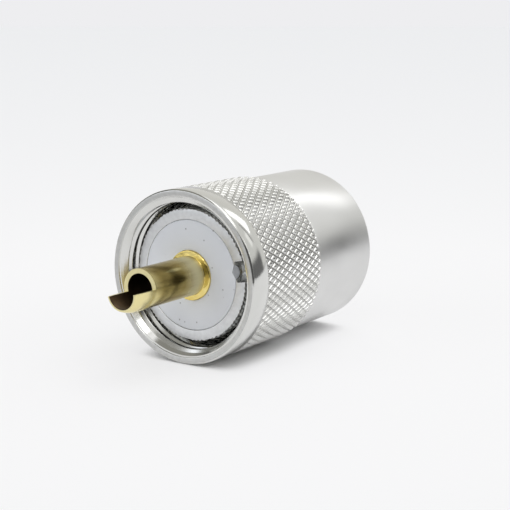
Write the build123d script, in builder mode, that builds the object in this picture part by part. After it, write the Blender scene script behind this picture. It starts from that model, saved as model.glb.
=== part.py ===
# UHF cable plug, standing on the back of its rear sleeve with the centre pin up.
# The origin is the centre of the sleeve's back face, and +Z is the plug's axis, towards the mating end.
# +X runs through one notch of the mating face, +Y through the open side of the pin's scoop.

import os
from math import cos, pi, sin, tan

from build123d import *

# Centre contact
pin_diameter = 3.96
pin_wall = 0.49
pin_reach = 10.5
scoop_length = 2.76
scoop_drop = 0.15
tip_taper_length = 0.8
tip_taper_depth = 0.28
collar_width = 0.57
collar_thickness = 0.5
collar_rise = 0.2
contact_tail_length = 3.0

# Insulator
disc_thickness = 2.0
hub_length = 3.0

# Plug body
flange_wall = 1.15
flange_thickness = 3.1
tooth_count = 88
tooth_depth = 0.17
notch_drill = 2.1
notch_depth = 1.51
notch_point_angle = 130
notch_count = 2
core_bore = 8.4
neck_wall = 1.3
neck_length = 7.8
tail_wall = 0.9
tail_length = 5.8
window_diameter = 3.0
window_count = 4
window_below_flange = 2.6

# Coupling ring, thread 5/8-24
thread_major = 15.875
thread_depth = 0.49
ring_length = 12.2
ring_wall = 0.86
plain_band_length = 2.55
knurl_sink = 0.02
knurl_depth = 0.3
knurl_count = 68
knurl_rows = 7
ring_front_edge = 0.12
mouth_rise = 0.12
lip_thickness = 1.6

# Rear sleeve
cable_entry = 10.8
sleeve_wall = 3.05
sleeve_length = 10.6
sleeve_back_edge = 0.5
entry_edge = 0.4

# Clearances between the pieces, on the radius or along the axis
press_gap = 0.01
thread_gap = 0.05
seat_gap = 0.02
flange_gap = 0.7
ring_play = 0.3
ring_rest_gap = 0.2

# Heights above the back face
tail_z = sleeve_length - tail_length
shoulder_z = sleeve_length + neck_length
face_z = shoulder_z + flange_thickness
disc_z = face_z - disc_thickness
hub_z = disc_z - hub_length
tip_z = face_z + pin_reach
scoop_z = tip_z - scoop_length
contact_z = hub_z - contact_tail_length
collar_z = face_z + collar_rise - collar_thickness
window_z = shoulder_z - window_below_flange
ring_z = sleeve_length + ring_rest_gap
ring_front_z = ring_z + ring_length
band_z = ring_front_z - plain_band_length
lip_z = ring_z + lip_thickness

# Radii that follow from the sizes above
pin_radius = pin_diameter / 2
bore_radius = pin_radius - pin_wall
collar_radius = pin_radius + collar_width
core_radius = core_bore / 2
neck_radius = core_radius + neck_wall
tail_radius = core_radius + tail_wall
sleeve_radius = cable_entry / 2 + sleeve_wall
lip_radius = neck_radius + ring_play
crest_radius = thread_major / 2 - thread_depth
mouth_radius = thread_major / 2 + mouth_rise
ring_radius = thread_major / 2 + ring_wall
knurl_peak_radius = ring_radius - knurl_sink
knurl_root_radius = knurl_peak_radius - knurl_depth
knurl_core_radius = knurl_root_radius - knurl_depth
flange_radius = crest_radius - flange_gap
insulator_radius = flange_radius - flange_wall
notch_point_radius = flange_radius - notch_depth
notch_cone_length = notch_drill / 2 / tan(notch_point_angle * pi / 360)


def tube_section(outer_radius, inner_radius):
    Circle(outer_radius)
    Circle(inner_radius, mode=Mode.SUBTRACT)


def tooth_outline(peak_radius, root_radius, count):
    corners = []
    for step in range(2 * count):
        radius = root_radius if step % 2 else peak_radius
        angle = pi * step / count
        corners.append((radius * cos(angle), radius * sin(angle)))
    return corners


def knurl_corner(step, level, radius):
    angle = pi * step / knurl_count
    height = ring_z + level * (band_z - ring_z) / (2 * knurl_rows)
    return Vector(radius * cos(angle), radius * sin(angle), height)


def flat_face(*corners):
    return Face(Wire.make_polygon(corners, close=True))


def diamond_facets(step, level):
    peak = knurl_corner(step, level, knurl_peak_radius)
    left = knurl_corner(step - 1, level, knurl_root_radius)
    right = knurl_corner(step + 1, level, knurl_root_radius)
    facets = []
    if level > 0:
        low = knurl_corner(step, level - 1, knurl_root_radius)
        facets += [flat_face(peak, left, low), flat_face(peak, low, right)]
    if level < 2 * knurl_rows:
        high = knurl_corner(step, level + 1, knurl_root_radius)
        facets += [flat_face(peak, right, high), flat_face(peak, high, left)]
    return facets


def knurl_end_face(level):
    corners = []
    for step in range(2 * knurl_count):
        radius = knurl_root_radius if step % 2 else knurl_peak_radius
        corners.append(knurl_corner(step, level, radius))
    height = corners[0].Z
    inner = Wire.make_circle(knurl_core_radius, Plane.XY.offset(height))
    return Face(Wire.make_polygon(corners, close=True), [inner])


# The two half-round notches of the mating face, drilled from outside through flange and insulator
with BuildPart() as notches:
    with BuildSketch(Plane.XY.offset(face_z)):
        with BuildLine():
            Polyline(
                (notch_point_radius, 0),
                (notch_point_radius + notch_cone_length, notch_drill / 2),
                (2 * flange_radius, notch_drill / 2),
                (2 * flange_radius, 0),
                close=True,
            )
        make_face()
    revolve(axis=Axis((0, 0, face_z), (1, 0, 0)))
    drilled = notches.part
    with PolarLocations(0, notch_count):
        add(drilled)

# Rear sleeve: a turned barrel, with the cable's hole behind and the bore for the tail in front
with BuildPart() as rear_sleeve:
    with BuildSketch():
        tube_section(sleeve_radius, tail_radius + thread_gap)
    extrude(amount=sleeve_length)
    with BuildSketch():
        Circle(cable_entry / 2)
    extrude(amount=tail_z - seat_gap, mode=Mode.SUBTRACT)
    back_edges = rear_sleeve.faces().sort_by(Axis.Z)[0].edges().sort_by(SortBy.RADIUS)
    chamfer(back_edges[-1], sleeve_back_edge)
    chamfer(back_edges[0], entry_edge)
rear_sleeve.part.label = "rear_sleeve"

# Plug body: tail, neck and toothed flange turned from one bar and bored through for the cable's core
with BuildPart() as plug_body:
    with BuildSketch(Plane.XY.offset(tail_z)):
        Circle(tail_radius)
    extrude(amount=tail_length)
    with BuildSketch(Plane.XY.offset(sleeve_length)):
        Circle(neck_radius)
    extrude(amount=neck_length)
    with BuildSketch(Plane.XY.offset(shoulder_z)):
        Polygon(*tooth_outline(flange_radius, flange_radius - tooth_depth, tooth_count), align=None)
    extrude(amount=flange_thickness)
    with BuildSketch(Plane.XY.offset(tail_z)):
        Circle(core_radius)
    extrude(amount=face_z - tail_z, mode=Mode.SUBTRACT)
    with BuildSketch(Plane.XY.offset(disc_z)):
        Circle(insulator_radius)
    extrude(amount=disc_thickness, mode=Mode.SUBTRACT)
    with Locations((0, 0, window_z)):
        with PolarLocations(0, window_count // 2, start_angle=180 / window_count, angular_range=180):
            Cylinder(window_diameter / 2, 4 * neck_radius, rotation=(0, 90, 0), mode=Mode.SUBTRACT)
    add(notches.part, mode=Mode.SUBTRACT)
plug_body.part.label = "plug_body"

# Insulator: a disc flush with the mating face, and a hub down the body's bore
with BuildPart() as insulator:
    with BuildSketch(Plane.XY.offset(disc_z)):
        Circle(insulator_radius - press_gap)
    extrude(amount=disc_thickness)
    with BuildSketch(Plane.XY.offset(hub_z)):
        Circle(core_radius - press_gap)
    extrude(amount=hub_length)
    with BuildSketch(Plane.XY.offset(hub_z)):
        Circle(pin_radius + press_gap)
    extrude(amount=face_z - hub_z, mode=Mode.SUBTRACT)
    with BuildSketch(Plane.XY.offset(collar_z)):
        Circle(collar_radius + press_gap)
    extrude(amount=face_z - collar_z, mode=Mode.SUBTRACT)
    add(notches.part, mode=Mode.SUBTRACT)
insulator.part.label = "insulator"

# Centre contact: a hollow pin on a seating collar, the upper half of its tip cut away
with BuildPart() as centre_contact:
    with BuildSketch(Plane.XY.offset(contact_z)):
        Circle(pin_radius)
    extrude(amount=tip_z - contact_z)
    pin_side = centre_contact.faces().filter_by(GeomType.CYLINDER)[0]
    tip_edge = centre_contact.edges().sort_by(Axis.Z)[-1]
    chamfer(tip_edge, tip_taper_length, tip_taper_depth, reference=pin_side)
    with BuildSketch(Plane.XY.offset(collar_z)):
        Circle(collar_radius)
    extrude(amount=collar_thickness)
    with BuildSketch(Plane.XY.offset(contact_z)):
        Circle(bore_radius)
    extrude(amount=tip_z - contact_z, mode=Mode.SUBTRACT)
    with BuildSketch(Plane.XY.offset(scoop_z)):
        with Locations((0, pin_radius - scoop_drop)):
            Rectangle(2 * pin_diameter, pin_diameter)
    extrude(amount=scoop_length, mode=Mode.SUBTRACT)
centre_contact.part.label = "centre_contact"

# Diamond knurl of the coupling ring: rows of low pyramids between two families of crossing grooves
knurl_faces = [knurl_end_face(0), knurl_end_face(2 * knurl_rows)]
for level in range(2 * knurl_rows + 1):
    for diamond in range(knurl_count):
        knurl_faces += diamond_facets(2 * diamond + level % 2, level)
knurl_core = Solid.make_cylinder(knurl_core_radius, band_z - ring_z, Plane.XY.offset(ring_z))
knurl_faces += knurl_core.faces().filter_by(GeomType.CYLINDER)
knurl_band = Solid(Shell(knurl_faces))

# Coupling ring: a lip that rides on the neck, and the thread's bore from there up to the mouth
with BuildPart() as coupling_ring:
    with BuildSketch(Plane.XY.offset(ring_z)):
        tube_section(knurl_core_radius, lip_radius)
    extrude(amount=ring_length - plain_band_length)
    with BuildSketch(Plane.XY.offset(band_z)):
        tube_section(ring_radius, lip_radius)
    extrude(amount=plain_band_length)
    with BuildSketch(Plane.XY.offset(lip_z)):
        Circle(crest_radius)
    extrude(amount=ring_front_z - lip_z, mode=Mode.SUBTRACT)
    front_edges = coupling_ring.faces().sort_by(Axis.Z)[-1].edges().sort_by(SortBy.RADIUS)
    chamfer(front_edges[0], mouth_radius - crest_radius)
    chamfer(front_edges[-1], ring_front_edge)
    add(knurl_band)
coupling_ring.part.label = "coupling_ring"

os.makedirs("parts", exist_ok=True)
for piece in (rear_sleeve, plug_body, insulator, centre_contact, coupling_ring):
    export_step(piece.part, f"parts/{piece.part.label}.step")
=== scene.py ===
import math
import random

import bpy
from mathutils import Matrix, Vector


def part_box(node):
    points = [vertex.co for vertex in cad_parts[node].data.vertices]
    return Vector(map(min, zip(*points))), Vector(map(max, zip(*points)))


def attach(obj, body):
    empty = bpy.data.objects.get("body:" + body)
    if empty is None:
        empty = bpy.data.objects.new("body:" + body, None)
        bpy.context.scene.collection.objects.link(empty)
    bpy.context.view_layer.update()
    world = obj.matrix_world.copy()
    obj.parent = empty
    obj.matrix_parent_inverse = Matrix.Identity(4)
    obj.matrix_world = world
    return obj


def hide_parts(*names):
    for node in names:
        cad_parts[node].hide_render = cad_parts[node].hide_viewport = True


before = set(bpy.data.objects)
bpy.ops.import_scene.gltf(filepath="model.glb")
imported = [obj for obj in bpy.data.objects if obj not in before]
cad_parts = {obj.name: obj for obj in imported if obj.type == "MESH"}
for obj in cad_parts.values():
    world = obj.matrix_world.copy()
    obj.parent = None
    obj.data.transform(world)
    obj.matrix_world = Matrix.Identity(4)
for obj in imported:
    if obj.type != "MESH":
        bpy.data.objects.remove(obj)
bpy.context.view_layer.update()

mm = 0.001

# back height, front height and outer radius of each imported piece, in mm
packed = {}
for node in ("coupling_ring", "plug_body", "insulator", "centre_contact", "rear_sleeve"):
    low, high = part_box(node)
    packed[node] = (low.z / mm, high.z / mm, high.x / mm)

samePlace, nearby = 0.001, 0.02  # in mm, how close two places lie to be taken as one, or as near


# Small helpers for working by hand. Pieces are worked in mm up to finishPiece

def restart():
    if bpy.context.mode != "OBJECT":
        bpy.ops.object.mode_set(mode="OBJECT")
    bpy.ops.object.select_all(action="DESELECT")


def takeUp(piece):
    restart()
    piece.select_set(True)
    bpy.context.view_layer.objects.active = piece


def editAll(piece):
    takeUp(piece)
    bpy.ops.object.mode_set(mode="EDIT")
    bpy.ops.mesh.select_all(action="SELECT")


def editSelecting(piece, kind, wanted):
    # leaves the piece in edit mode with just the wanted vertices or faces selected
    takeUp(piece)
    bpy.ops.object.mode_set(mode="EDIT")
    bpy.ops.mesh.select_mode(type=kind)
    bpy.ops.mesh.select_all(action="DESELECT")
    bpy.ops.object.mode_set(mode="OBJECT")
    if kind == "VERT":
        for vertex in piece.data.vertices:
            vertex.select = wanted(vertex.co)
    else:
        for face in piece.data.polygons:
            face.select = wanted(face.center)
    bpy.ops.object.mode_set(mode="EDIT")


def applyModifier(piece, kind, settings):
    takeUp(piece)
    modifier = piece.modifiers.new(kind.lower(), kind)
    for name, value in settings.items():
        setattr(modifier, name, value)
    bpy.ops.object.modifier_apply(modifier=modifier.name)


def joinPieces(pieces):
    # the first one takes in the others
    restart()
    for piece in pieces:
        piece.select_set(True)
    bpy.context.view_layer.objects.active = pieces[0]
    bpy.ops.object.join()


def reach(place):
    return math.hypot(place.x, place.y)


def setReach(vertex, radius):
    # moves the vertex straight out from the axis, or in towards it
    scale = radius / reach(vertex.co)
    vertex.co.x *= scale
    vertex.co.y *= scale


def drawOutline(name, corners, closed=True):
    # corners are (radius, height, rounding); each rounding becomes a small arc
    mesh = bpy.data.meshes.new(name)
    count = len(corners)
    edges = [(index, (index + 1) % count) for index in range(count if closed else count - 1)]
    mesh.from_pydata([(radius, 0, height) for radius, height, rounding in corners], edges, [])
    piece = bpy.data.objects.new(name, mesh)
    bpy.context.collection.objects.link(piece)
    for radius, height, rounding in corners:
        if rounding:
            corner = Vector((radius, 0, height))
            editSelecting(piece, "VERT", lambda place: (place - corner).length < samePlace)
            bpy.ops.mesh.bevel(
                offset_type="OFFSET", offset=rounding, segments=3, affect="VERTICES")
    restart()
    return piece


def turnOutline(piece, steps, pitch=0, turns=1):
    applyModifier(piece, "SCREW", {
        "axis": "Z", "angle": 2 * math.pi, "steps": steps, "render_steps": steps,
        "iterations": turns, "screw_offset": pitch, "use_merge_vertices": pitch == 0,
        "merge_threshold": samePlace / 2})


def turnPiece(name, corners, steps):
    piece = drawOutline(name, corners)
    turnOutline(piece, steps)
    faceOutwards(piece)
    return piece


def faceOutwards(piece):
    editAll(piece)
    bpy.ops.mesh.remove_doubles(threshold=samePlace)
    bpy.ops.mesh.normals_make_consistent(inside=False)
    restart()


def keepBetween(piece, low, high):
    for vertex in piece.data.vertices:
        for level in (low, high):
            if abs(vertex.co.z - level) < nearby:  # laid on the cut, so it leaves no sliver
                vertex.co.z = level
    editAll(piece)
    for level, isTop in ((low, False), (high, True)):
        bpy.ops.mesh.select_all(action="SELECT")
        bpy.ops.mesh.bisect(
            plane_co=(0, 0, level), plane_no=(0, 0, 1), threshold=samePlace,
            clear_inner=not isTop, clear_outer=isTop)
    restart()


def cutWith(piece, cutter):
    applyModifier(piece, "BOOLEAN", {
        "operation": "DIFFERENCE", "solver": "EXACT", "object": cutter})
    bpy.data.objects.remove(cutter)


def finishPiece(piece, node, body, smoothAngle):
    piece.data.transform(Matrix.Scale(mm, 4))  # from mm to metres
    takeUp(piece)
    bpy.ops.object.shade_smooth_by_angle(angle=math.radians(smoothAngle))
    restart()
    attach(piece, body)
    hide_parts(node)
    print(f"{piece.name}: {len(piece.data.polygons)} faces")


# Coupling ring, 5/8-24 thread inside and a rolled diamond knurl outside

couplingRing = {
    "steps": 136,  # two for each diamond of the knurl, so that their corners meet
    "mouthRadius": 8.06,
    "mouthDepth": 0.58,
    "mouthStepBack": 0.12,
    "mouthStep": ((0.16, 0.115), (0.185, 0.09), (0.19, 0.03), (0.2, 0.006), (0.22, 0)),  # out, back
    "threadPitch": 1.058,
    "threadCrestRadius": 7.45,
    "threadRootRadius": 8.0,
    "threadCrestFlat": 0.36,
    "threadRootFlat": 0.1,
    "threadRounding": 0.05,
    "threadPhase": 0.08,  # share of a turn
    "reliefRadius": 8.0,
    "reliefLength": 1.2,
    "lipThickness": 1.6,
    "lipRadius": 5.8,
    "lipEdge": ((0.08, 0), (0.02, 0.02), (0, 0.08)),  # out, back
    "lipBevel": (0.22, 0.25),  # width on the back face, and height
    "plainBand": 2.55,
    "frontEdge": ((0.16, 0), (0.13, 0.01), (0.01, 0.13), (0, 0.16)),  # in, back
    "bandEdge": ((0, 0.06), (0.02, 0.03)),  # in, forwards from the knurl
    "backEdge": 0.2,
    "backInset": 0.4,  # deeper than the knurl's grooves
    "faced": 0.01,  # depth of what counts as the faced front
    "facedNormal": 0.99,  # and how far such a face looks forwards, 1 being straight
    "smoothAngle": 38,
}

knurl = {
    "around": 68,
    "rows": 7,
    "sink": 0.005,  # of the pads' tops under the plain band
    "steps": ((0.025, 0.0), (0.09, 0.16), (0.05, 0.045), (0.09, 0.02)),  # each inset and rise
}


def makeKnurl(back, front, radius):
    # one pad is raised by insets, repeated as a flat sheet, and bent round the ring
    floorRadius = radius - knurl["sink"] - sum(rise for inset, rise in knurl["steps"])
    width = 2 * math.pi * floorRadius / knurl["around"]
    height = (front - back) / knurl["rows"]
    restart()
    bpy.ops.mesh.primitive_circle_add(
        vertices=4, radius=1, fill_type="NGON", rotation=(math.pi / 2, 0, 0))
    pad = bpy.context.object
    pad.name = "knurl_pad"
    bpy.ops.object.transform_apply(location=False, rotation=True, scale=False)
    bpy.ops.object.mode_set(mode="EDIT")
    bpy.ops.transform.resize(value=(width / 2, 1, height / 2))
    for inset, rise in knurl["steps"]:
        bpy.ops.mesh.inset(thickness=inset, depth=rise)
    bpy.ops.mesh.select_all(action="SELECT")
    bpy.ops.transform.translate(value=(0, 0, back))
    restart()
    copies = (
        (knurl["around"], (width, 0, 0)),
        (2, (width / 2, 0, height / 2)),
        (knurl["rows"] + 1, (0, 0, height)),
    )
    for count, offset in copies:
        applyModifier(pad, "ARRAY", {
            "count": count, "use_relative_offset": False, "use_constant_offset": True,
            "constant_offset_displace": offset})
    # the staggered rows reach half a pad further round
    turnAngle = 2 * math.pi * (knurl["around"] + 0.5) / knurl["around"]
    applyModifier(pad, "SIMPLE_DEFORM", {
        "deform_method": "BEND", "deform_axis": "Z", "angle": turnAngle})
    editAll(pad)
    bpy.ops.transform.translate(value=(0, -floorRadius, 0))
    bpy.ops.mesh.remove_doubles(threshold=2 * samePlace)
    restart()
    keepBetween(pad, back + couplingRing["backEdge"], front)
    return pad


def selectOpenEdges(piece, wanted):
    # leaves the piece in edit mode with just the open edges selected whose ends are wanted
    takeUp(piece)
    bpy.ops.object.mode_set(mode="EDIT")
    bpy.ops.mesh.select_mode(type="EDGE")
    bpy.ops.mesh.select_all(action="DESELECT")
    bpy.ops.mesh.select_non_manifold(
        use_wire=False, use_multi_face=False, use_non_contiguous=False, use_verts=False)
    bpy.ops.object.mode_set(mode="OBJECT")
    mesh = piece.data
    for edge in mesh.edges:
        edge.select = edge.select and all(
            wanted(mesh.vertices[index].co) for index in edge.vertices)
    for vertex in mesh.vertices:
        vertex.select = False
    bpy.ops.object.mode_set(mode="EDIT")


def followLoop(piece, radius, height, outline):
    # carries the open loop at that radius and height along the outline
    selectOpenEdges(piece, lambda place: (
        abs(place.z - height) < samePlace and abs(reach(place) - radius) < nearby))
    for newRadius, newHeight in outline:
        scale = newRadius / radius
        bpy.ops.mesh.extrude_edges_move(
            TRANSFORM_OT_translate={"value": (0, 0, newHeight - height)})
        bpy.ops.transform.resize(value=(scale, scale, 1), center_override=(0, 0, newHeight))
        radius, height = newRadius, newHeight
    restart()


def bridgeLoops(piece, wanted):
    selectOpenEdges(piece, wanted)
    bpy.ops.mesh.bridge_edge_loops()
    restart()


def turnThread(back, front):
    size = couplingRing
    pitch, crest, root = size["threadPitch"], size["threadCrestRadius"], size["threadRootRadius"]
    crestFlat, rootFlat = size["threadCrestFlat"], size["threadRootFlat"]
    flank = (pitch - crestFlat - rootFlat) / 2
    start = back - (2 + size["threadPhase"]) * pitch
    rounding = size["threadRounding"]
    corners = [
        (crest, start, 0),
        (crest, start + crestFlat, rounding),
        (root, start + crestFlat + flank, rounding),
        (root, start + crestFlat + flank + rootFlat, rounding),
        (crest, start + pitch, 0)]
    thread = drawOutline("knurled_coupling_ring", corners, closed=False)
    turns = math.ceil((front - start) / pitch) + 1
    turnOutline(thread, size["steps"], pitch, turns)
    return thread


def makeCouplingRing():
    size = couplingRing
    back, front, radius = packed["coupling_ring"]
    lipTop = back + size["lipThickness"]
    bandBack = front - size["plainBand"]
    stepBack = front - size["mouthStepBack"]
    crest = size["threadCrestRadius"]
    ring = turnThread(lipTop, front)

    # the mouth's bevel and the relief behind the thread are turned away from it
    mouthSlope = (size["mouthRadius"] - crest) / size["mouthDepth"]
    for vertex in ring.data.vertices:
        mouth = size["mouthRadius"] - (front - vertex.co.z) * mouthSlope
        relief = min(size["reliefRadius"], crest + lipTop + size["reliefLength"] - vertex.co.z)
        setReach(vertex, max(reach(vertex.co), mouth, relief))
    editAll(ring)
    bpy.ops.mesh.remove_doubles(threshold=2 * samePlace)
    restart()
    keepBetween(ring, lipTop, stepBack)

    mouth = size["mouthRadius"] - size["mouthStepBack"] * mouthSlope
    for vertex in ring.data.vertices:
        if abs(vertex.co.z - stepBack) < samePlace:
            setReach(vertex, mouth)
    followLoop(ring, mouth, stepBack, [
        *((mouth + out, front - drop) for out, drop in size["mouthStep"]),
        *((radius - inset, front - drop) for inset, drop in size["frontEdge"]),
        *((radius - inset, bandBack + rise) for inset, rise in size["bandEdge"])])
    lip = size["lipRadius"]
    bevelWidth, bevelHeight = size["lipBevel"]
    followLoop(ring, size["reliefRadius"], lipTop, [
        *((lip + out, lipTop - drop) for out, drop in size["lipEdge"]),
        (lip, back + bevelHeight), (lip + bevelWidth, back), (radius - size["backInset"], back)])

    joinPieces([ring, makeKnurl(back, bandBack, radius)])
    bridgeLoops(ring, lambda place: abs(place.z - bandBack) < 2 * nearby)
    bridgeLoops(ring, lambda place: place.z < back + size["backEdge"] + samePlace)
    faceOutwards(ring)
    finishPiece(ring, "coupling_ring", "ring", size["smoothAngle"])
    return ring


def ringFinish(place, normal):
    # 0 on the turned parts, 1 on the faced front, 2 on the knurl
    back, front, radius = packed["coupling_ring"]
    if normal.z > couplingRing["facedNormal"] and place.z > front - couplingRing["faced"]:
        return 1
    isBehindBand = place.z < front - couplingRing["plainBand"]
    isOutside = reach(place) > radius - couplingRing["backInset"]
    return 2 if isBehindBand and isOutside else 0


# Plug body, one turned piece: tail, neck and the flange with the toothed mating face

plugBody = {
    "steps": 176,  # two for each of the 88 teeth
    "tailRadius": 5.1,
    "tailTop": 10.6,
    "neckRadius": 5.5,
    "flangeBack": 18.4,
    "edge": 0.1,
    "outerEdge": 0.15,
    "rimEdge": 0.05,
    "toothDepth": 0.17,
    "toothWear": 0.08,
    "pocketEdge": 0.08,
    "pocketRadius": 5.6,
    "pocketDepth": 2.0,
    "coreRadius": 4.2,
    "windowHeight": 15.8,
    "windowRadius": 1.5,
    "windowAngles": (45, 135),
    "windowBar": 16,  # length of the bar that cuts two opposite windows
    "faced": 0.2,  # depth of what counts as the mating face, with its teeth's worn tips
    "facedNormal": 0.9,
    "wearSeed": 5,
    "smoothAngle": 28,
}

# a notch is the mark of a pointed drill, half of it in the mating face
notch = {"radius": 1.05, "tipRadius": 5.24, "coneLength": 0.49, "drillLength": 4}


def makeDrill(front):
    # drill that cuts both notches, lying along X with its points towards the plug's axis
    drills = []
    shoulder = notch["tipRadius"] + notch["coneLength"]
    for side in (1, -1):
        restart()
        bpy.ops.mesh.primitive_cylinder_add(
            vertices=48, radius=notch["radius"], depth=notch["drillLength"], end_fill_type="NGON",
            location=(side * (shoulder + notch["drillLength"] / 2), 0, front),
            rotation=(0, math.pi / 2, 0))
        drill = bpy.context.object
        bpy.ops.object.transform_apply(location=True, rotation=True, scale=False)
        editSelecting(drill, "FACE", lambda place: abs(place.x - side * shoulder) < nearby)
        bpy.ops.mesh.extrude_region_move(
            TRANSFORM_OT_translate={"value": (-side * notch["coneLength"], 0, 0)})
        bpy.ops.mesh.merge(type="CENTER")
        drills.append(drill)
    joinPieces(drills)
    faceOutwards(drills[0])
    return drills[0]


def makeWindowBar(angle):
    restart()
    bpy.ops.mesh.primitive_cylinder_add(
        vertices=40, radius=plugBody["windowRadius"], depth=plugBody["windowBar"],
        end_fill_type="NGON", location=(0, 0, plugBody["windowHeight"]),
        rotation=(0, math.pi / 2, math.radians(angle)))
    bpy.ops.object.transform_apply(location=True, rotation=True, scale=False)
    return bpy.context.object


def makePlugBody():
    size = plugBody
    back, front, radius = packed["plug_body"]
    pocket, core, edge = size["pocketRadius"], size["coreRadius"], size["edge"]
    corners = [
        (core, back, edge),
        (size["tailRadius"], back, size["outerEdge"]),
        (size["tailRadius"], size["tailTop"], 0),
        (size["neckRadius"], size["tailTop"], edge),
        (size["neckRadius"], size["flangeBack"], edge),
        (radius, size["flangeBack"], size["outerEdge"]),
        (radius, front, size["rimEdge"]),
        (pocket, front, size["pocketEdge"]),
        (pocket, front - size["pocketDepth"], 0),
        (core, front - size["pocketDepth"], 0)]
    body = turnPiece("plug_body_nickel", corners, size["steps"])
    toothAngle = 2 * math.pi / size["steps"]
    toothRoot = radius - size["toothDepth"] - edge
    chance = random.Random(size["wearSeed"])
    wear = [chance.uniform(0, size["toothWear"]) for step in range(size["steps"])]
    for vertex in body.data.vertices:
        place = vertex.co
        step = round(math.atan2(place.y, place.x) / toothAngle) % size["steps"]
        if reach(place) > toothRoot:
            depth = size["toothDepth"] - wear[step] if step % 2 else wear[step]
            setReach(vertex, reach(place) - depth)
            if place.z > front - size["faced"]:
                vertex.co.z -= wear[step]  # the rim's burrs are knocked back unevenly
    cutWith(body, makeDrill(front))
    bars = [makeWindowBar(angle) for angle in size["windowAngles"]]
    for bar in bars:
        cutWith(body, bar)
    finishPiece(body, "plug_body", "plug", size["smoothAngle"])
    return body


def bodyFinish(place, normal):
    # 0 on the turned parts, 1 on the mating face
    back, front, radius = packed["plug_body"]
    isForward = normal.z > plugBody["facedNormal"]
    return 1 if isForward and place.z > front - plugBody["faced"] else 0


# Insulator disc with its hub

insulator = {
    "steps": 160,
    "hubRadius": 4.19,
    "hubEdge": 0.15,
    "discThickness": 2.0,
    "edge": 0.1,
    "pinRadius": 1.99,
    "seatRadius": 2.56,
    "seatDepth": 0.3,
    "seatEdge": 0.03,
    "smoothAngle": 25,
}


def makeInsulator():
    size = insulator
    back, front, radius = packed["insulator"]
    discBack = front - size["discThickness"]
    seat = front - size["seatDepth"]
    corners = [
        (size["pinRadius"], back, 0),
        (size["hubRadius"], back, size["hubEdge"]),
        (size["hubRadius"], discBack, 0),
        (radius, discBack, 0),
        (radius, front, size["edge"]),
        (size["seatRadius"], front, size["seatEdge"]),
        (size["seatRadius"], seat, 0),
        (size["pinRadius"], seat, 0)]
    disc = turnPiece("insulator_disc", corners, size["steps"])
    cutWith(disc, makeDrill(front))
    finishPiece(disc, "insulator", "plug", size["smoothAngle"])
    return disc


# Centre contact, a tube with a collar, its tip cut back to a scoop

centreContact = {
    "steps": 96,
    "pinRadius": 1.98,
    "boreRadius": 1.51,
    "collarBack": 21.2,
    "collarThickness": 0.5,
    "collarEdge": 0.12,
    "collarRoot": 0.06,  # fillet to the tube
    "tipRadius": 1.70,
    "tipLength": 0.8,
    "tipRound": 0.3,
    "tipEdge": 0.06,
    "boreEdge": 0.04,
    "backEdge": 0.1,
    "scoopLength": 2.76,
    "scoopDrop": 0.15,
    "scoopCutter": 6,  # side of the cube that cuts it
    "sideNormal": 0.5,  # how far a face looks out or in to count as the tube or its bore
    "smoothAngle": 28,
}


def makeCentreContact():
    size = centreContact
    back, front, collarRadius = packed["centre_contact"]
    pin, bore = size["pinRadius"], size["boreRadius"]
    collarBack = size["collarBack"]
    collarFront = collarBack + size["collarThickness"]
    scoop = front - size["scoopLength"]
    corners = [
        (bore, back, size["backEdge"]),
        (pin, back, size["backEdge"]),
        (pin, collarBack, 0),
        (collarRadius, collarBack, 0),
        (collarRadius, collarFront, size["collarEdge"]),
        (pin, collarFront, size["collarRoot"]),
        (pin, scoop, 0),
        (pin, front - size["tipLength"], size["tipRound"]),
        (size["tipRadius"], front, size["tipEdge"]),
        (bore, front, size["boreEdge"]),
        (bore, scoop, 0)]
    contact = turnPiece("centre_contact_gold", corners, size["steps"])
    restart()
    half = size["scoopCutter"] / 2
    bpy.ops.mesh.primitive_cube_add(
        size=size["scoopCutter"], location=(0, half - size["scoopDrop"], scoop + half))
    cutWith(contact, bpy.context.object)
    finishPiece(contact, "centre_contact", "plug", size["smoothAngle"])
    return contact


def contactFinish(place, normal):
    # 0 on the tube, 1 in its bore, 2 on the collar and all behind it, 3 on the cut edges
    size = centreContact
    outwards = normal.dot(Vector((place.x, place.y, 0)).normalized())
    if outwards < -size["sideNormal"]:
        return 1
    if place.z < size["collarBack"] + size["collarThickness"] + size["collarEdge"]:
        return 2
    return 3 if abs(outwards) < size["sideNormal"] else 0


# Rear sleeve, a plain turned barrel

rearSleeve = {
    "steps": 160,
    "backRound": 0.5,
    "entryRadius": 5.4,
    "entryEdge": 0.35,
    "entryDepth": 4.78,
    "boreRadius": 5.15,
    "boreEdge": 0.05,
    "frontRound": 0.15,
    "smoothAngle": 30,
}


def makeRearSleeve():
    size = rearSleeve
    back, front, radius = packed["rear_sleeve"]
    entryTop = back + size["entryDepth"]
    corners = [
        (size["entryRadius"], back, size["entryEdge"]),
        (radius, back, size["backRound"]),
        (radius, front, size["frontRound"]),
        (size["boreRadius"], front, size["boreEdge"]),
        (size["boreRadius"], entryTop, 0),
        (size["entryRadius"], entryTop, 0)]
    sleeve = turnPiece("rear_sleeve_nickel", corners, size["steps"])
    finishPiece(sleeve, "rear_sleeve", "plug", size["smoothAngle"])
    return sleeve


# Finishes. A mix of colours has them at inputs 6 and 7, and its result at output 2

def toLinear(hexColour):
    channels = [int(hexColour[place:place + 2], 16) / 255 for place in (1, 3, 5)]
    linear = [value / 12.92 if value <= 0.04045 else ((value + 0.055) / 1.055) ** 2.4
              for value in channels]
    return (*linear, 1)


def addNode(tree, kind, settings, inputs):
    # an input is a plain value, a socket, or a node whose first output is meant
    node = tree.nodes.new(kind)
    for name, value in settings.items():
        setattr(node, name, value)
    for name, value in inputs.items():
        if isinstance(value, bpy.types.Node):
            value = value.outputs[0]
        if isinstance(value, bpy.types.NodeSocket):
            tree.links.new(value, node.inputs[name])
        else:
            node.inputs[name].default_value = value
    return node


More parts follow.
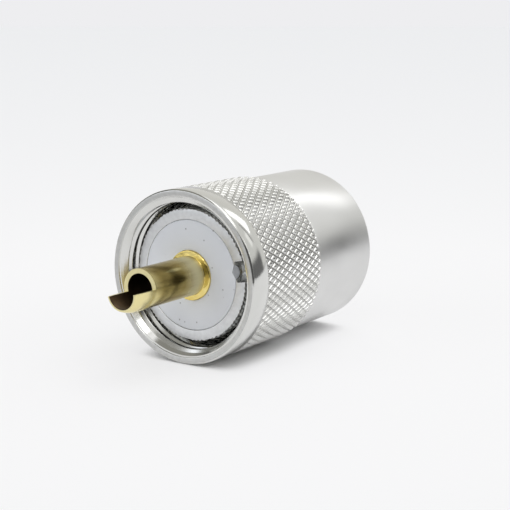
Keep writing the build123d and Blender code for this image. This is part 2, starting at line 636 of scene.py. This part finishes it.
def startMaterial(name):
    material = bpy.data.materials.new(name)
    material.use_nodes = True
    material.node_tree.nodes.clear()
    return material, material.node_tree


# widths in mm: marks are the lathe's or the roll's, stains the plating's clouds, and the grain
# of the plating, really a few microns, is drawn as coarse as it needs to show
finishes = {
    "ring": {"colour": "#DEDEDB", "stain": "#D4D4D1", "roughness": (0.07, 0.15),
             "markWidth": 0.06, "markStrength": 0.12, "stainWidth": 2.5,
             "grainWidth": 0.08, "grainStrength": 0.1},
    "knurl": {"colour": "#DCDCDA", "stain": "#CFCFCC", "roughness": (0.2, 0.28),
              "markWidth": 0.06, "markStrength": 0.1, "stainWidth": 2.5,
              "grainWidth": 0.08, "grainStrength": 0.15},
    "face": {"colour": "#D2D2D0", "stain": "#B9B9B7", "roughness": (0.34, 0.46),
             "markWidth": 0.05, "markStrength": 0.5, "stainWidth": 0.5,
             "grainWidth": 0.1, "grainStrength": 0.8},
    "body": {"colour": "#D2D2CF", "stain": "#C6C7C6", "roughness": (0.2, 0.32),
             "markWidth": 0.07, "markStrength": 0.2, "stainWidth": 1.5,
             "grainWidth": 0.07, "grainStrength": 0.3},
    "bodyFace": {"colour": "#E5E6E7", "stain": "#D3D4D5", "roughness": (0.42, 0.55),
                 "markWidth": 0.05, "markStrength": 0.3, "stainWidth": 0.4,
                 "grainWidth": 0.12, "grainStrength": 0.9},
    "sleeve": {"colour": "#E3E3E2", "stain": "#DADAD9", "roughness": (0.3, 0.38),
               "markWidth": 0.08, "markStrength": 0.12, "stainWidth": 4.0,
               "grainWidth": 0.1, "grainStrength": 0.08},
}


plating = {
    "markSlope": 1.4,  # what a step outwards counts for in the marks, against one forwards
    "markHeight": 0.01,
    "grainHeight": 0.01,
    "stainRange": (0.3, 0.7),
}


def nickelPlate(name, finish):
    # nickel over turned brass: a slightly warm grey mirror, blurred by the marks under the plate
    material, tree = startMaterial(name)
    place = addNode(tree, "ShaderNodeTexCoord", {}, {}).outputs["Object"]
    height = addNode(tree, "ShaderNodeSeparateXYZ", {}, {"Vector": place}).outputs["Z"]
    flat = addNode(tree, "ShaderNodeVectorMath", {"operation": "MULTIPLY"}, {
        0: place, 1: (1, 1, 0)})
    radius = addNode(tree, "ShaderNodeVectorMath", {"operation": "LENGTH"}, {
        0: flat}).outputs["Value"]
    # the marks run round the axis, on faces and sides alike
    along = addNode(tree, "ShaderNodeMath", {"operation": "MULTIPLY_ADD"}, {
        0: radius, 1: plating["markSlope"], 2: height})
    marks = addNode(tree, "ShaderNodeTexNoise", {"noise_dimensions": "1D"}, {
        "W": along, "Scale": 1 / (finish["markWidth"] * mm), "Detail": 3.0})
    stains = addNode(tree, "ShaderNodeTexNoise", {}, {
        "Vector": place, "Scale": 1 / (finish["stainWidth"] * mm), "Detail": 4.0})
    grain = addNode(tree, "ShaderNodeTexNoise", {}, {
        "Vector": place, "Scale": 1 / (finish["grainWidth"] * mm), "Detail": 2.0})
    palest, darkest = plating["stainRange"]
    smoothest, roughest = finish["roughness"]
    rough = addNode(tree, "ShaderNodeMapRange", {}, {
        "Value": stains, "From Min": palest, "From Max": darkest,
        "To Min": smoothest, "To Max": roughest})
    tint = addNode(tree, "ShaderNodeMix", {"data_type": "RGBA"}, {
        "Factor": stains, 6: toLinear(finish["colour"]), 7: toLinear(finish["stain"])})
    bump = addNode(tree, "ShaderNodeBump", {}, {
        "Height": marks, "Strength": finish["markStrength"],
        "Distance": plating["markHeight"] * mm})
    bump = addNode(tree, "ShaderNodeBump", {}, {
        "Height": grain, "Strength": finish["grainStrength"],
        "Distance": plating["grainHeight"] * mm, "Normal": bump})
    plate = addNode(tree, "ShaderNodeBsdfPrincipled", {}, {
        "Base Color": tint.outputs[2], "Metallic": 1.0, "Roughness": rough, "Normal": bump})
    addNode(tree, "ShaderNodeOutputMaterial", {}, {"Surface": plate})
    return material


goldFinishes = {
    "pin": {"colour": "#DFCC86", "stain": "#846C34", "roughness": 0.14, "streakStrength": 0.07,
            "mattBelow": 25.6, "brightAbove": 27.9},
    "collar": {"colour": "#F0E09A", "stain": "#DCC062", "roughness": 0.06, "streakStrength": 0.9,
               "mattBelow": 10, "brightAbove": 40},
    "cut": {"colour": "#EBE2B4", "stain": "#DCD09A", "roughness": 0.3, "streakStrength": 0.1,
            "mattBelow": 10, "brightAbove": 40},
}

goldWear = {
    "streakWidth": 0.6,
    "streakStretch": 10,
    "streakHeight": 0.03,
    "wander": 1.2,  # how far the streaks carry the matt zone's edge
    "mattColour": "#E9E1B8",
    "mattRoughness": 0.5,
    "mattFade": 2.6,
    "brightColour": "#EBDFA6",
    "brightFade": 2.2,
    "grainWidth": 0.09,
    "grainHeight": 0.01,
    "grainStrength": 0.06,
    # a painted highlight on the tube, and a painted dark reflection beside it
    "marks": (
        {"place": (1.60, 1.16, 25.8), "size": (0.24, 0.24, 1.3), "colour": "#FFF0AE"},
        {"place": (1.96, 0.25, 25.9), "size": (0.55, 0.55, 1.5), "colour": "#6E5F34"},
    ),
    "paintedReflectionEdge": (1.5, 0.7),  # in shares of its size
    "paintedReflectionRagged": 0.8,
}


def goldPlate(name, finish):
    # thin gold over drawn brass: long streaks along the tube, pale and matt towards the collar, and
    # paler towards the tip, partly a paler plating and partly a painted highlight
    material, tree = startMaterial(name)
    place = addNode(tree, "ShaderNodeTexCoord", {}, {}).outputs["Object"]
    height = addNode(tree, "ShaderNodeSeparateXYZ", {}, {"Vector": place}).outputs["Z"]
    stretched = addNode(tree, "ShaderNodeMapping", {}, {
        "Vector": place, "Scale": (1, 1, 1 / goldWear["streakStretch"])})
    streaks = addNode(tree, "ShaderNodeTexNoise", {}, {
        "Vector": stretched, "Scale": 1 / (goldWear["streakWidth"] * mm), "Detail": 3.0})
    wander = addNode(tree, "ShaderNodeMath", {"operation": "MULTIPLY_ADD"}, {
        0: streaks, 1: goldWear["wander"] * mm, 2: height})
    matt = addNode(tree, "ShaderNodeMapRange", {"interpolation_type": "SMOOTHSTEP"}, {
        "Value": wander, "From Min": finish["mattBelow"] * mm,
        "From Max": (finish["mattBelow"] - goldWear["mattFade"]) * mm})
    rough = addNode(tree, "ShaderNodeMapRange", {}, {
        "Value": matt, "To Min": finish["roughness"], "To Max": goldWear["mattRoughness"]})
    # paler towards the tip: partly paler plating, partly a painted highlight
    bright = addNode(tree, "ShaderNodeMapRange", {"interpolation_type": "SMOOTHSTEP"}, {
        "Value": height, "From Min": finish["brightAbove"] * mm,
        "From Max": (finish["brightAbove"] + goldWear["brightFade"]) * mm})
    layers = [(matt, goldWear["mattColour"]), (bright, goldWear["brightColour"])]
    markOut, markIn = goldWear["paintedReflectionEdge"]
    # painted highlight and painted dark reflection, mixed into the tube's colour
    for mark in goldWear["marks"]:
        offset = addNode(tree, "ShaderNodeMapping", {"vector_type": "TEXTURE"}, {
            "Vector": place, "Location": [value * mm for value in mark["place"]],
            "Scale": [value * mm for value in mark["size"]]})
        distance = addNode(tree, "ShaderNodeVectorMath", {"operation": "LENGTH"}, {
            0: offset}).outputs["Value"]
        uneven = addNode(tree, "ShaderNodeMath", {"operation": "MULTIPLY_ADD"}, {
            0: streaks, 1: goldWear["paintedReflectionRagged"], 2: distance})
        inside = addNode(tree, "ShaderNodeMapRange", {"interpolation_type": "SMOOTHSTEP"}, {
            "Value": uneven, "From Min": markOut, "From Max": markIn})
        layers.append((inside, mark["colour"]))
    tint = addNode(tree, "ShaderNodeMix", {"data_type": "RGBA"}, {
        "Factor": streaks, 6: toLinear(finish["colour"]), 7: toLinear(finish["stain"])})
    for amount, colour in layers:
        tint = addNode(tree, "ShaderNodeMix", {"data_type": "RGBA"}, {
            "Factor": amount, 6: tint.outputs[2], 7: toLinear(colour)})
    grain = addNode(tree, "ShaderNodeTexNoise", {}, {
        "Vector": place, "Scale": 1 / (goldWear["grainWidth"] * mm), "Detail": 2.0})
    bump = addNode(tree, "ShaderNodeBump", {}, {
        "Height": streaks, "Strength": finish["streakStrength"],
        "Distance": goldWear["streakHeight"] * mm})
    bump = addNode(tree, "ShaderNodeBump", {}, {
        "Height": grain, "Strength": goldWear["grainStrength"],
        "Distance": goldWear["grainHeight"] * mm, "Normal": bump})
    plate = addNode(tree, "ShaderNodeBsdfPrincipled", {}, {
        "Base Color": tint.outputs[2], "Metallic": 1.0, "Roughness": rough, "Normal": bump})
    addNode(tree, "ShaderNodeOutputMaterial", {}, {"Surface": plate})
    return material


pinBore = {"colour": "#604A30", "stain": "#30281E", "blotchWidth": 0.6, "metallic": 0.8,
           "roughness": 0.4}


def dullBore(name):
    # bare brass inside the tube, coloured dark brown so that it hardly mirrors
    material, tree = startMaterial(name)
    place = addNode(tree, "ShaderNodeTexCoord", {}, {}).outputs["Object"]
    blotches = addNode(tree, "ShaderNodeTexNoise", {}, {
        "Vector": place, "Scale": 1 / (pinBore["blotchWidth"] * mm), "Detail": 3.0})
    tint = addNode(tree, "ShaderNodeMix", {"data_type": "RGBA"}, {
        "Factor": blotches, 6: toLinear(pinBore["colour"]), 7: toLinear(pinBore["stain"])})
    brass = addNode(tree, "ShaderNodeBsdfPrincipled", {}, {
        "Base Color": tint.outputs[2], "Metallic": pinBore["metallic"],
        "Roughness": pinBore["roughness"]})
    addNode(tree, "ShaderNodeOutputMaterial", {}, {"Surface": brass})
    return material


moulding = {
    "colour": "#F1F4FA",
    "cloud": "#EAEDF4",
    "cloudWidth": 2.0,
    "speck": "#77777C",
    "speckSpacing": 1.1,
    "speckEdge": (0.02, 0.1),  # in shares of the spacing
    "roughness": 0.45,
}


def mouldedInsulator(name):
    # white moulded insulator, faintly blue and half matt, with a few dark specks of dust in it
    material, tree = startMaterial(name)
    place = addNode(tree, "ShaderNodeTexCoord", {}, {}).outputs["Object"]
    clouds = addNode(tree, "ShaderNodeTexNoise", {}, {
        "Vector": place, "Scale": 1 / (moulding["cloudWidth"] * mm), "Detail": 3.0})
    specks = addNode(tree, "ShaderNodeTexVoronoi", {}, {
        "Vector": place, "Scale": 1 / (moulding["speckSpacing"] * mm), "Randomness": 1.0})
    speckIn, speckOut = moulding["speckEdge"]
    speck = addNode(tree, "ShaderNodeMapRange", {}, {
        "Value": specks.outputs["Distance"], "From Min": speckIn, "From Max": speckOut,
        "To Min": 1.0, "To Max": 0.0})
    base = addNode(tree, "ShaderNodeMix", {"data_type": "RGBA"}, {
        "Factor": clouds, 6: toLinear(moulding["colour"]), 7: toLinear(moulding["cloud"])})
    tint = addNode(tree, "ShaderNodeMix", {"data_type": "RGBA"}, {
        "Factor": speck, 6: base.outputs[2], 7: toLinear(moulding["speck"])})
    plastic = addNode(tree, "ShaderNodeBsdfPrincipled", {}, {
        "Base Color": tint.outputs[2], "Roughness": moulding["roughness"]})
    addNode(tree, "ShaderNodeOutputMaterial", {}, {"Surface": plastic})
    return material


def coverPiece(piece, materials, choose=None):
    # choose gives the number of a face's material from its place in mm and its normal
    for material in materials:
        piece.data.materials.append(material)
    if choose:
        for face in piece.data.polygons:
            face.material_index = choose(face.center / mm, face.normal)


# Floor, light and camera

camera = {
    "place": (78.371, 12.462, 117.59),  # in mm, from a fit to the photo's circles
    "right": (0.81442589, -0.09056621, -0.57315638),
    "down": (0, -0.98774495, 0.15607663),
    "roll": -3.5,  # turns the fit about the plug's axis, in degrees
    "focalPixels": 1248,
    "imagePixels": 510,
    "sensorWidth": 36,
}

stage = {
    "upAngle": 9.85,  # the photo's ground is square to this direction, in degrees from +Y to +X
    "groundDrop": 8.8,  # from the plug's axis down to the ground, the ring's radius
    "nearEdge": (80, 100),  # distance in front of the plug, and half width there
    "farEdge": (3000, 900),  # distance behind it, and half width there
    "groundColour": ("#ECEDEF", "#F7F7F8"),  # far away and near; the far colour is painted shade, the paper greying with distance
    "nearReach": (150, 100),  # the near colour's share is the first over distance plus the second
    "groundGlow": 0.76,  # share of the paper shown as painted light to camera, glossy and transmission rays, lightening its shadow
    "contactReach": 3,  # the glow fades where the plug stands this close over the ground
    "contactFade": (0.2, 0.75),  # between these shares of open sky
}

# the camera looks along the ground in the direction of turn 0
# turn grows to the right and rise upwards, both in degrees; colour and light say what is there
room = {
    "underneath": {"colour": "#FFFFFF", "light": 0.3},
    "wall": {"rise": (-4, 0), "colour": "#E2E2DF", "light": 1.0},
    "ceiling": {"rise": (45, 60), "colour": "#FFFFFF", "light": 1.3},
    "cards": (
        # back wall, and the paper behind the plug
        {"turn": (-30, 34), "rise": (2, 44), "soft": 5, "colour": "#E6E5E0", "light": 0.97},
        {"turn": (-26, 26), "rise": (-8, 4), "soft": 1.5, "colour": "#EEEEF0", "light": 1.0},
        # window, a lit door beside it, and the frame between them
        {"turn": (35, 49.5), "rise": (21, 47), "soft": 1, "colour": "#FFFFFF", "light": 1.9},
        {"turn": (58.5, 69), "rise": (19, 31), "soft": 1, "colour": "#F2F2F0", "light": 1.2},
        {"turn": (54.5, 57.5), "rise": (18, 38), "soft": 1, "colour": "#909090", "light": 0.9},
        # dark furniture on the right, and a bright panel over it
        {"turn": (52, 120), "rise": (-14, 11), "soft": 6, "colour": "#797979", "light": 0.85},
        {"turn": (98, 125), "rise": (20, 40), "soft": 4, "colour": "#FFFFFF", "light": 2.5},
        # lit left side, its shaded part, the shade above it and a dark frame
        {"turn": (-135, -82), "rise": (4, 38), "soft": 8, "colour": "#D6D9DE", "light": 2.1},
        {"turn": (-82, -34), "rise": (6, 42), "soft": 8, "colour": "#8E8E89", "light": 0.9},
        {"turn": (-140, -30), "rise": (38, 76), "soft": 8, "colour": "#A09F98", "light": 0.9},
        {"turn": (-62, -34), "rise": (12, 44), "soft": 4, "colour": "#6E6E6C", "light": 0.8},
        # dark side behind the camera, and a lamp above it
        {"turn": (134, 180), "rise": (-60, 30), "soft": 6, "colour": "#505050", "light": 1.0},
        {"turn": (-180, -138), "rise": (-60, 30), "soft": 6, "colour": "#505050", "light": 1.0},
        {"turn": (-182, -158), "rise": (41, 54), "soft": 3, "colour": "#FFFFFF", "light": 3.0},
    ),
}

key = {"turn": 75, "rise": 70, "spread": 40, "power": 0.45}


def stageDirections():
    # upwards, to the camera's right, and away from it along the ground
    rise = math.radians(stage["upAngle"])
    upwards = Vector((math.sin(rise), math.cos(rise), 0))
    right = Matrix.Rotation(math.radians(camera["roll"]), 3, "Z") @ Vector(camera["right"])
    return upwards, right, upwards.cross(right)


def whiteTable(name):
    # bright matt paper, partly glowing as painted light that lightens its shadow for camera, glossy
    # and transmission rays; its back is clear, so that views from below see the plug
    material, tree = startMaterial(name)
    place = addNode(tree, "ShaderNodeTexCoord", {}, {}).outputs["Object"]
    distance = addNode(tree, "ShaderNodeVectorMath", {"operation": "LENGTH"}, {
        0: place}).outputs["Value"]
    # painted shade: the paper greys from the near colour to the far one with distance
    share, start = (value * mm for value in stage["nearReach"])
    reached = addNode(tree, "ShaderNodeMath", {"operation": "ADD"}, {0: distance, 1: start})
    nearness = addNode(tree, "ShaderNodeMath", {"operation": "DIVIDE"}, {0: share, 1: reached})
    far, near = (toLinear(colour) for colour in stage["groundColour"])
    colour = addNode(tree, "ShaderNodeMix", {"data_type": "RGBA"}, {
        "Factor": nearness, 6: far, 7: near}).outputs[2]
    matt = addNode(tree, "ShaderNodeBsdfDiffuse", {}, {"Color": colour})
    # painted light: the paper glows with its own colour
    glow = addNode(tree, "ShaderNodeEmission", {}, {"Color": colour, "Strength": 1.0})
    opened = addNode(tree, "ShaderNodeAmbientOcclusion", {"samples": 8}, {
        "Distance": stage["contactReach"] * mm})
    closed, bare = stage["contactFade"]
    amount = addNode(tree, "ShaderNodeMapRange", {"interpolation_type": "SMOOTHSTEP"}, {
        "Value": opened.outputs["AO"], "From Min": closed, "From Max": bare})
    path = addNode(tree, "ShaderNodeLightPath", {}, {}).outputs
    seen = path["Is Camera Ray"]
    for ray in ("Is Glossy Ray", "Is Transmission Ray"):
        seen = addNode(tree, "ShaderNodeMath", {"operation": "ADD"}, {0: seen, 1: path[ray]})
    for factor in (seen, stage["groundGlow"]):
        amount = addNode(tree, "ShaderNodeMath", {"operation": "MULTIPLY"}, {
            0: amount, 1: factor})
    paper = addNode(tree, "ShaderNodeMixShader", {}, {0: amount, 1: matt, 2: glow})
    clear = addNode(tree, "ShaderNodeBsdfTransparent", {}, {})
    side = addNode(tree, "ShaderNodeNewGeometry", {}, {}).outputs["Backfacing"]
    sheet = addNode(tree, "ShaderNodeMixShader", {}, {0: side, 1: paper, 2: clear})
    addNode(tree, "ShaderNodeOutputMaterial", {}, {"Surface": sheet})
    return material


def makeGround():
    upwards, right, away = stageDirections()
    restart()
    bpy.ops.mesh.primitive_plane_add(size=2)
    ground = bpy.context.object
    ground.name = "ground"
    for vertex in ground.data.vertices:
        isFar = vertex.co.y > 0
        distance, halfWidth = stage["farEdge"] if isFar else stage["nearEdge"]
        along = distance if isFar else -distance
        place = right * vertex.co.x * halfWidth + away * along - upwards * stage["groundDrop"]
        vertex.co = place * mm
    ground.data.materials.append(whiteTable("white_table"))


def makeRoom():
    world = bpy.data.worlds.new("plain_studio")
    bpy.context.scene.world = world
    world.use_nodes = True
    tree = world.node_tree
    tree.nodes.clear()
    look = addNode(tree, "ShaderNodeTexCoord", {}, {}).outputs["Generated"]
    parts = []
    for axis in stageDirections():
        part = addNode(tree, "ShaderNodeVectorMath", {"operation": "DOT_PRODUCT"}, {
            0: look, 1: axis})
        parts.append(part.outputs["Value"])
    up, right, away = parts
    risen = addNode(tree, "ShaderNodeMath", {"operation": "ARCSINE"}, {0: up})
    rise = addNode(tree, "ShaderNodeMath", {"operation": "DEGREES"}, {0: risen})
    turned = addNode(tree, "ShaderNodeMath", {"operation": "ARCTAN2"}, {0: right, 1: away})
    turn = addNode(tree, "ShaderNodeMath", {"operation": "DEGREES"}, {0: turned})

    # each layer has edges, over which it comes in from 0 at the first angle to 1 at the second
    layers = [(layer, [(rise, *layer["rise"])]) for layer in (room["wall"], room["ceiling"])]
    for card in room["cards"]:
        half = card["soft"] / 2
        edges = []
        for angle, (start, end) in ((turn, card["turn"]), (rise, card["rise"])):
            edges += [(angle, start - half, start + half), (angle, end + half, end - half)]
        layers.append((card, edges))

    def shine(layer):
        return (*(channel * layer["light"] for channel in toLinear(layer["colour"])[:3]), 1)

    colour = shine(room["underneath"])
    for layer, edges in layers:
        inside = 1.0
        for angle, outer, inner in edges:
            edge = addNode(tree, "ShaderNodeMapRange", {"interpolation_type": "SMOOTHSTEP"}, {
                "Value": angle, "From Min": outer, "From Max": inner})
            inside = addNode(tree, "ShaderNodeMath", {"operation": "MULTIPLY"}, {
                0: inside, 1: edge})
        colour = addNode(tree, "ShaderNodeMix", {"data_type": "RGBA"}, {
            "Factor": inside, 6: colour, 7: shine(layer)}).outputs[2]
    background = addNode(tree, "ShaderNodeBackground", {}, {"Color": colour, "Strength": 1.0})
    addNode(tree, "ShaderNodeOutputWorld", {}, {"Surface": background})


def makeKeyLight():
    upwards, right, away = stageDirections()
    turn, rise = math.radians(key["turn"]), math.radians(key["rise"])
    level = away * math.cos(turn) + right * math.sin(turn)
    source = level * math.cos(rise) + upwards * math.sin(rise)
    data = bpy.data.lights.new("key_softbox", "SUN")
    data.angle = math.radians(key["spread"])
    data.energy = key["power"]
    lamp = bpy.data.objects.new("key_softbox", data)
    lamp.rotation_euler = source.to_track_quat("Z", "Y").to_euler()
    bpy.context.collection.objects.link(lamp)


def makeCamera():
    turn = Matrix.Rotation(math.radians(camera["roll"]), 3, "Z")
    right = turn @ Vector(camera["right"])
    down = turn @ Vector(camera["down"])
    view = Matrix((right, -down, down.cross(right))).transposed()
    data = bpy.data.cameras.new("photo_camera")
    data.sensor_width = camera["sensorWidth"]
    data.lens = camera["focalPixels"] / camera["imagePixels"] * data.sensor_width
    data.clip_start = 5 * mm
    data.clip_end = 10
    eye = bpy.data.objects.new("photo_camera", data)
    eye.matrix_world = Matrix.Translation(Vector(camera["place"]) * mm) @ view.to_4x4()
    bpy.context.collection.objects.link(eye)
    bpy.context.scene.camera = eye


ring = makeCouplingRing()
body = makePlugBody()
disc = makeInsulator()
contact = makeCentreContact()
sleeve = makeRearSleeve()

coverPiece(ring, [
    nickelPlate("bright_nickel_plate", finishes["ring"]),
    nickelPlate("faced_nickel_plate", finishes["face"]),
    nickelPlate("rolled_nickel_plate", finishes["knurl"])], ringFinish)
coverPiece(body, [
    nickelPlate("satin_nickel_plate", finishes["body"]),
    nickelPlate("frosted_nickel_plate", finishes["bodyFace"])], bodyFinish)
coverPiece(sleeve, [nickelPlate("polished_nickel_plate", finishes["sleeve"])])
coverPiece(disc, [mouldedInsulator("moulded_insulator")])
coverPiece(contact, [
    goldPlate("thin_gold_plate", goldFinishes["pin"]),
    dullBore("dark_brown_bore_brass"),
    goldPlate("bright_gold_plate", goldFinishes["collar"]),
    goldPlate("cut_gold_edge", goldFinishes["cut"])], contactFinish)
print("finishes applied")

makeGround()
makeRoom()
makeKeyLight()
makeCamera()
bpy.context.scene.view_settings.view_transform = "Standard"
print("stage and camera set")
